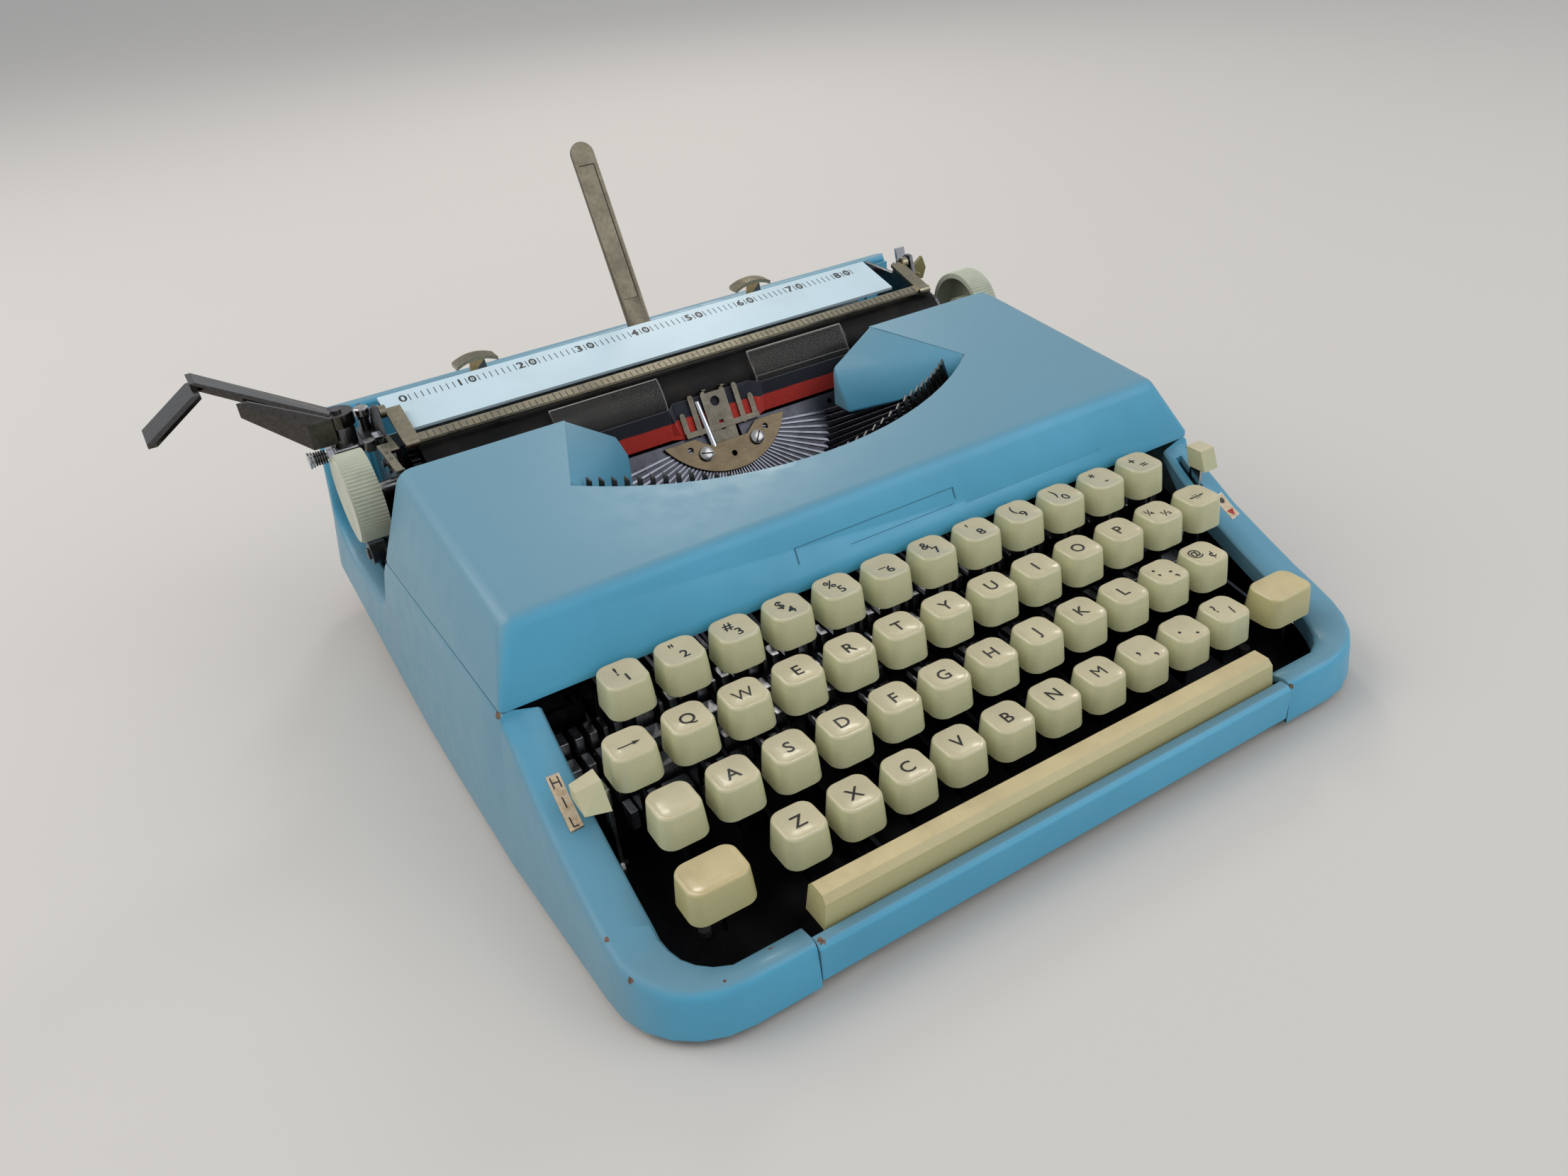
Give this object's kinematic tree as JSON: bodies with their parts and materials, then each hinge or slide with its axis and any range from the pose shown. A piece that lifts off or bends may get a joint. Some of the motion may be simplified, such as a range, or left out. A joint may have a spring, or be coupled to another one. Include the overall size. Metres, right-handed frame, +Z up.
{
  "type": "portable typewriter",
  "caption": "Low portable manual typewriter with a segment type basket, square keys, a spring carriage with return lever, and a two-piece metal case.",
  "frame": {"origin": "middle of the bounding box at the height of the table the feet stand on", "axes": "+X to the typist's right along the carriage, +Y from the keys to the rear wall, +Z up"},
  "size_m": [0.3524, 0.3158, 0.1624],
  "materials": {
    "case_blue": "satin",
    "plate_steel": "matt",
    "dark_steel": "satin",
    "bright_steel": "polished",
    "segment_steel": "satin",
    "lever_steel": "polished, darkened with age",
    "bronze": "satin",
    "feet_rubber": "matt",
    "platen_rubber": "satin",
    "clear_plastic": "clear, slightly smoked",
    "spool_black": "satin",
    "ribbon_cloth": "woven, black over red",
    "key_ivory": "gloss",
    "knob_cream": "satin",
    "table_white": "gloss enamel",
    "olive_plastic": "gloss"
  },
  "bodies": {
    "machine_frame": {"lower_shell": "case_blue", "front_panel": "case_blue", "ribbon_cover": "case_blue", "base_plate": "plate_steel", "rubber_feet": "feet_rubber", "chassis": "dark_steel", "pivot_rods": "bright_steel", "card_guides": "clear_plastic", "ribbon_spools": "spool_black", "ribbon": "ribbon_cloth"},
    "type_basket": {"segment": "segment_steel", "typebars": "bright_steel", "type_guide": "bronze"},
    "ribbon_vibrator": {"ribbon_vibrator": "bright_steel"},
    "key_q": {"key_q": "key_ivory"},
    "key_w": {"key_w": "key_ivory"},
    "key_e": {"key_e": "key_ivory"},
    "key_r": {"key_r": "key_ivory"},
    "key_t": {"key_t": "key_ivory"},
    "key_y": {"key_y": "key_ivory"},
    "key_u": {"key_u": "key_ivory"},
    "key_i": {"key_i": "key_ivory"},
    "key_o": {"key_o": "key_ivory"},
    "key_p": {"key_p": "key_ivory"},
    "key_a": {"key_a": "key_ivory"},
    "key_s": {"key_s": "key_ivory"},
    "key_d": {"key_d": "key_ivory"},
    "key_f": {"key_f": "key_ivory"},
    "key_g": {"key_g": "key_ivory"},
    "key_h": {"key_h": "key_ivory"},
    "key_j": {"key_j": "key_ivory"},
    "key_k": {"key_k": "key_ivory"},
    "key_l": {"key_l": "key_ivory"},
    "key_z": {"key_z": "key_ivory"},
    "key_x": {"key_x": "key_ivory"},
    "key_c": {"key_c": "key_ivory"},
    "key_v": {"key_v": "key_ivory"},
    "key_b": {"key_b": "key_ivory"},
    "key_n": {"key_n": "key_ivory"},
    "key_m": {"key_m": "key_ivory"},
    "figure_keys": {"figure_keys": "key_ivory"},
    "backspace_key": {"backspace_key": "key_ivory"},
    "margin_release_key": {"margin_release_key": "key_ivory"},
    "shift_keys": {"shift_keys": "key_ivory"},
    "space_bar": {"space_bar": "key_ivory"},
    "touch_selector": {"touch_selector": "key_ivory"},
    "colour_selector": {"colour_selector": "key_ivory"},
    "carriage": {"carriage_frame": "dark_steel", "paper_table": "table_white"},
    "platen": {"platen": "platen_rubber", "platen_knobs": "knob_cream"},
    "feed_rollers": {"feed_rollers": "platen_rubber"},
    "paper_bail": {"paper_bail": "bronze"},
    "margin_stop_left": {"margin_stop_left": "bright_steel"},
    "margin_stop_right": {"margin_stop_right": "bright_steel"},
    "paper_arm": {"paper_arm": "bronze"},
    "return_lever": {"return_lever": "lever_steel"},
    "line_selector": {"line_selector": "bright_steel"},
    "paper_release": {"paper_release": "bright_steel"},
    "carriage_release": {"carriage_release": "olive_plastic"}
  },
  "joints": [
    {"name": "key_q_press", "type": "hinge", "parent": "machine_frame", "child": "key_q", "pos_m": [0.0258, -0.0079, 0.042], "axis": [1, 0, 0], "range_deg": [0, 5.52], "stiffness_Nm_per_rad": 0.4, "springref_deg": -6.88},
    {"name": "key_w_press", "type": "hinge", "parent": "machine_frame", "child": "key_w", "pos_m": [0.0258, -0.0079, 0.042], "axis": [1, 0, 0], "range_deg": [0, 5.52], "stiffness_Nm_per_rad": 0.4, "springref_deg": -6.88},
    {"name": "key_e_press", "type": "hinge", "parent": "machine_frame", "child": "key_e", "pos_m": [0.0258, -0.0079, 0.042], "axis": [1, 0, 0], "range_deg": [0, 5.52], "stiffness_Nm_per_rad": 0.4, "springref_deg": -6.88},
    {"name": "key_r_press", "type": "hinge", "parent": "machine_frame", "child": "key_r", "pos_m": [0.0258, -0.0079, 0.042], "axis": [1, 0, 0], "range_deg": [0, 5.52], "stiffness_Nm_per_rad": 0.4, "springref_deg": -6.88},
    {"name": "key_t_press", "type": "hinge", "parent": "machine_frame", "child": "key_t", "pos_m": [0.0258, -0.0079, 0.042], "axis": [1, 0, 0], "range_deg": [0, 5.52], "stiffness_Nm_per_rad": 0.4, "springref_deg": -6.88},
    {"name": "key_y_press", "type": "hinge", "parent": "machine_frame", "child": "key_y", "pos_m": [0.0258, -0.0079, 0.042], "axis": [1, 0, 0], "range_deg": [0, 5.52], "stiffness_Nm_per_rad": 0.4, "springref_deg": -6.88},
    {"name": "key_u_press", "type": "hinge", "parent": "machine_frame", "child": "key_u", "pos_m": [0.0258, -0.0079, 0.042], "axis": [1, 0, 0], "range_deg": [0, 5.52], "stiffness_Nm_per_rad": 0.4, "springref_deg": -6.88},
    {"name": "key_i_press", "type": "hinge", "parent": "machine_frame", "child": "key_i", "pos_m": [0.0258, -0.0079, 0.042], "axis": [1, 0, 0], "range_deg": [0, 5.52], "stiffness_Nm_per_rad": 0.4, "springref_deg": -6.88},
    {"name": "key_o_press", "type": "hinge", "parent": "machine_frame", "child": "key_o", "pos_m": [0.0258, -0.0079, 0.042], "axis": [1, 0, 0], "range_deg": [0, 5.52], "stiffness_Nm_per_rad": 0.4, "springref_deg": -6.88},
    {"name": "key_p_press", "type": "hinge", "parent": "machine_frame", "child": "key_p", "pos_m": [0.0258, -0.0079, 0.042], "axis": [1, 0, 0], "range_deg": [0, 5.52], "stiffness_Nm_per_rad": 0.4, "springref_deg": -6.88},
    {"name": "key_a_press", "type": "hinge", "parent": "machine_frame", "child": "key_a", "pos_m": [0.0258, -0.0079, 0.042], "axis": [1, 0, 0], "range_deg": [0, 4.5], "stiffness_Nm_per_rad": 0.4, "springref_deg": -6.88},
    {"name": "key_s_press", "type": "hinge", "parent": "machine_frame", "child": "key_s", "pos_m": [0.0258, -0.0079, 0.042], "axis": [1, 0, 0], "range_deg": [0, 4.5], "stiffness_Nm_per_rad": 0.4, "springref_deg": -6.88},
    {"name": "key_d_press", "type": "hinge", "parent": "machine_frame", "child": "key_d", "pos_m": [0.0258, -0.0079, 0.042], "axis": [1, 0, 0], "range_deg": [0, 4.5], "stiffness_Nm_per_rad": 0.4, "springref_deg": -6.88},
    {"name": "key_f_press", "type": "hinge", "parent": "machine_frame", "child": "key_f", "pos_m": [0.0258, -0.0079, 0.042], "axis": [1, 0, 0], "range_deg": [0, 4.5], "stiffness_Nm_per_rad": 0.4, "springref_deg": -6.88},
    {"name": "key_g_press", "type": "hinge", "parent": "machine_frame", "child": "key_g", "pos_m": [0.0258, -0.0079, 0.042], "axis": [1, 0, 0], "range_deg": [0, 4.5], "stiffness_Nm_per_rad": 0.4, "springref_deg": -6.88},
    {"name": "key_h_press", "type": "hinge", "parent": "machine_frame", "child": "key_h", "pos_m": [0.0258, -0.0079, 0.042], "axis": [1, 0, 0], "range_deg": [0, 4.5], "stiffness_Nm_per_rad": 0.4, "springref_deg": -6.88},
    {"name": "key_j_press", "type": "hinge", "parent": "machine_frame", "child": "key_j", "pos_m": [0.0258, -0.0079, 0.042], "axis": [1, 0, 0], "range_deg": [0, 4.5], "stiffness_Nm_per_rad": 0.4, "springref_deg": -6.88},
    {"name": "key_k_press", "type": "hinge", "parent": "machine_frame", "child": "key_k", "pos_m": [0.0258, -0.0079, 0.042], "axis": [1, 0, 0], "range_deg": [0, 4.5], "stiffness_Nm_per_rad": 0.4, "springref_deg": -6.88},
    {"name": "key_l_press", "type": "hinge", "parent": "machine_frame", "child": "key_l", "pos_m": [0.0258, -0.0079, 0.042], "axis": [1, 0, 0], "range_deg": [0, 4.5], "stiffness_Nm_per_rad": 0.4, "springref_deg": -6.88},
    {"name": "key_z_press", "type": "hinge", "parent": "machine_frame", "child": "key_z", "pos_m": [0.0258, -0.0079, 0.042], "axis": [1, 0, 0], "range_deg": [0, 3.8], "stiffness_Nm_per_rad": 0.4, "springref_deg": -6.88},
    {"name": "key_x_press", "type": "hinge", "parent": "machine_frame", "child": "key_x", "pos_m": [0.0258, -0.0079, 0.042], "axis": [1, 0, 0], "range_deg": [0, 3.8], "stiffness_Nm_per_rad": 0.4, "springref_deg": -6.88},
    {"name": "key_c_press", "type": "hinge", "parent": "machine_frame", "child": "key_c", "pos_m": [0.0258, -0.0079, 0.042], "axis": [1, 0, 0], "range_deg": [0, 3.8], "stiffness_Nm_per_rad": 0.4, "springref_deg": -6.88},
    {"name": "key_v_press", "type": "hinge", "parent": "machine_frame", "child": "key_v", "pos_m": [0.0258, -0.0079, 0.042], "axis": [1, 0, 0], "range_deg": [0, 3.8], "stiffness_Nm_per_rad": 0.4, "springref_deg": -6.88},
    {"name": "key_b_press", "type": "hinge", "parent": "machine_frame", "child": "key_b", "pos_m": [0.0258, -0.0079, 0.042], "axis": [1, 0, 0], "range_deg": [0, 3.8], "stiffness_Nm_per_rad": 0.4, "springref_deg": -6.88},
    {"name": "key_n_press", "type": "hinge", "parent": "machine_frame", "child": "key_n", "pos_m": [0.0258, -0.0079, 0.042], "axis": [1, 0, 0], "range_deg": [0, 3.8], "stiffness_Nm_per_rad": 0.4, "springref_deg": -6.88},
    {"name": "key_m_press", "type": "hinge", "parent": "machine_frame", "child": "key_m", "pos_m": [0.0258, -0.0079, 0.042], "axis": [1, 0, 0], "range_deg": [0, 3.8], "stiffness_Nm_per_rad": 0.4, "springref_deg": -6.88},
    {"name": "figure_keys_press", "type": "hinge", "parent": "machine_frame", "child": "figure_keys", "pos_m": [0.0258, -0.0079, 0.042], "axis": [1, 0, 0], "range_deg": [0, 3.8], "stiffness_Nm_per_rad": 2.4, "springref_deg": -11.46},
    {"name": "backspace_press", "type": "hinge", "parent": "machine_frame", "child": "backspace_key", "pos_m": [0.0258, -0.0079, 0.042], "axis": [1, 0, 0], "range_deg": [0, 5.52], "stiffness_Nm_per_rad": 0.4, "springref_deg": -6.88},
    {"name": "margin_release_press", "type": "hinge", "parent": "machine_frame", "child": "margin_release_key", "pos_m": [0.0258, -0.0079, 0.042], "axis": [1, 0, 0], "range_deg": [0, 5.52], "stiffness_Nm_per_rad": 0.4, "springref_deg": -6.88},
    {"name": "shift_press", "type": "hinge", "parent": "machine_frame", "child": "shift_keys", "pos_m": [0.0258, -0.0079, 0.042], "axis": [1, 0, 0], "range_deg": [0, 3.8], "stiffness_Nm_per_rad": 2, "springref_deg": -20.05},
    {"name": "space_bar_press", "type": "hinge", "parent": "machine_frame", "child": "space_bar", "pos_m": [0.0258, -0.0399, 0.0124], "axis": [1, 0, 0], "range_deg": [0, 2.4], "stiffness_Nm_per_rad": 0.8, "springref_deg": -6.88},
    {"name": "touch_selector_turn", "type": "hinge", "parent": "machine_frame", "child": "touch_selector", "pos_m": [-0.0984, -0.0959, 0.016], "axis": [1, 0, 0], "range_deg": [-9, 9]},
    {"name": "colour_selector_turn", "type": "hinge", "parent": "machine_frame", "child": "colour_selector", "pos_m": [0.1582, -0.0759, 0.024], "axis": [1, 0, 0], "range_deg": [-6, 6]},
    {"name": "type_basket_shift", "type": "slide", "parent": "machine_frame", "child": "type_basket", "axis": [0, 0, -1], "range_m": [0, 0.0058]},
    {"name": "ribbon_vibrator_lift", "type": "slide", "parent": "machine_frame", "child": "ribbon_vibrator", "axis": [0, 0.454, 0.891], "range_m": [0, 0.006], "stiffness_N_per_m": 20, "springref_m": -0.006},
    {"name": "carriage_travel", "type": "slide", "parent": "machine_frame", "child": "carriage", "axis": [1, 0, 0], "range_m": [-0.1, 0.1]},
    {"name": "platen_turn", "type": "hinge", "parent": "carriage", "child": "platen", "pos_m": [0.0258, 0.0771, 0.073], "axis": [1, 0, 0], "continuous": true},
    {"name": "feed_roller_turn", "type": "hinge", "parent": "carriage", "child": "feed_rollers", "pos_m": [0.0258, 0.0851, 0.05533], "axis": [1, 0, 0], "continuous": true},
    {"name": "paper_bail_lift", "type": "hinge", "parent": "carriage", "child": "paper_bail", "pos_m": [0.0258, 0.0917, 0.0964], "axis": [-1, 0, 0], "range_deg": [0, 60]},
    {"name": "margin_stop_left_slide", "type": "slide", "parent": "carriage", "child": "margin_stop_left", "axis": [1, 0, 0], "range_m": [-0.035, 0.05]},
    {"name": "margin_stop_right_slide", "type": "slide", "parent": "carriage", "child": "margin_stop_right", "axis": [1, 0, 0], "range_m": [-0.035, 0.05]},
    {"name": "paper_arm_fold", "type": "hinge", "parent": "carriage", "child": "paper_arm", "pos_m": [0.0258, 0.1145, 0.08], "axis": [1, 0, 0], "range_deg": [-5, 45]},
    {"name": "return_lever_swing", "type": "hinge", "parent": "carriage", "child": "return_lever", "pos_m": [-0.1122, 0.1001, 0.095], "axis": [0, 0, 1], "range_deg": [0, 25], "stiffness_Nm_per_rad": 0.3, "springref_deg": -14.32},
    {"name": "line_selector_turn", "type": "hinge", "parent": "carriage", "child": "line_selector", "pos_m": [-0.1022, 0.0831, 0.08], "axis": [1, 0, 0], "range_deg": [-6, 6]},
    {"name": "paper_release_pull", "type": "hinge", "parent": "carriage", "child": "paper_release", "pos_m": [0.1504, 0.1041, 0.072], "axis": [1, 0, 0], "range_deg": [0, 14]},
    {"name": "carriage_release_press", "type": "hinge", "parent": "carriage", "child": "carriage_release", "pos_m": [0.1538, 0.0941, 0.08], "axis": [-1, 0, 0], "range_deg": [0, 12], "stiffness_Nm_per_rad": 0.05, "springref_deg": -17.19}
  ],
  "couplings": [
    {"joint": "type_basket_shift", "follows": "shift_press", "m_per_rad": 0.085},
    {"joint": "feed_roller_turn", "follows": "platen_turn", "ratio": -3.5714}
  ]
}
